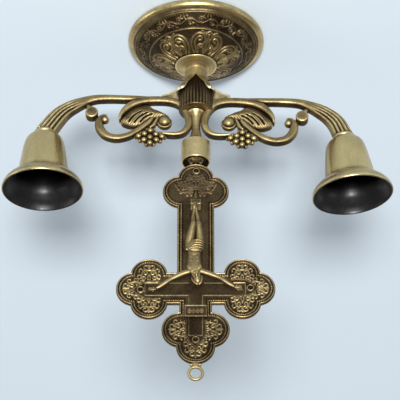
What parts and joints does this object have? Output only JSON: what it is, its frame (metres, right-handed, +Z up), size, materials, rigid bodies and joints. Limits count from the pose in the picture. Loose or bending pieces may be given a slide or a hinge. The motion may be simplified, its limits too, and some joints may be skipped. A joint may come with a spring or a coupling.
{
  "type": "altar crucifix candelabrum",
  "caption": "Standing brass altar crucifix on a round ornamented foot, with scrolled vine arms that carry bell-shaped, open-topped candle cups.",
  "frame": {"origin": "centre of the felt underside, on the table", "axes": "+Z up along the stem, +X to the right cup as seen from the front, the crucifix faces -Y"},
  "size_m": [0.2778, 0.1, 0.2837],
  "materials": {
    "antique_brass": "antique, hand-rubbed, brown-black in the hollows",
    "bright_brass": "antique, rubbed brighter on the high parts",
    "dark_bronze": "dark patinated, semi-gloss",
    "steel": "plain turned steel",
    "felt": "pressed wool felt"
  },
  "bodies": {
    "stand": {"base_foot": "antique_brass", "felt_pad": "felt", "base_collar": "bright_brass", "stem_calyx": "antique_brass", "reeded_knop": "dark_bronze", "centre_column": "antique_brass", "base_washer": "steel", "base_bolt": "steel", "arm_left": "antique_brass", "arm_right": "antique_brass", "cup_stud_left": "steel", "cup_stud_right": "steel", "crucifix_socket": "antique_brass", "socket_screw": "steel"},
    "turning_plug": {"socket_plug": "dark_bronze"},
    "crucifix": {"crucifix_plate": "dark_bronze", "crucifix_tang": "antique_brass", "title_plate": "dark_bronze", "hanging_loop": "antique_brass", "foot_block": "antique_brass", "corpus": "bright_brass", "nail_hand_left": "dark_bronze", "nail_hand_right": "dark_bronze", "nail_feet": "dark_bronze"},
    "washer_left": {"cup_washer_left": "steel"},
    "cup_left": {"candle_cup_left": "antique_brass"},
    "washer_right": {"cup_washer_right": "steel"},
    "cup_right": {"candle_cup_right": "antique_brass"}
  },
  "joints": [
    {"name": "crucifix_turn", "type": "hinge", "parent": "stand", "child": "turning_plug", "pos_m": [0, 0, 0.1], "axis": [0, 0, 1], "continuous": true},
    {"name": "crucifix_lift", "type": "slide", "parent": "turning_plug", "child": "crucifix", "axis": [0, 0, 1], "range_m": [0, 0.012]},
    {"name": "cup_left_rise", "type": "slide", "parent": "stand", "child": "washer_left", "axis": [-0.1079, 0.0419, 0.9933], "range_m": [0, 0.0049]},
    {"name": "cup_left_turn", "type": "hinge", "parent": "washer_left", "child": "cup_left", "pos_m": [-0.10639, 0.00006, 0.09011], "axis": [-0.1079, 0.0419, 0.9933], "range_deg": [0, 2160]},
    {"name": "cup_right_rise", "type": "slide", "parent": "stand", "child": "washer_right", "axis": [0, 0, 1], "range_m": [0, 0.0049]},
    {"name": "cup_right_turn", "type": "hinge", "parent": "washer_right", "child": "cup_right", "pos_m": [0.1087, 0, 0.0868], "axis": [0, 0, 1], "range_deg": [0, 2160]}
  ],
  "couplings": [
    {"joint": "cup_left_rise", "follows": "cup_left_turn", "m_per_rad": 0.00012732},
    {"joint": "cup_right_rise", "follows": "cup_right_turn", "m_per_rad": 0.00012732}
  ]
}
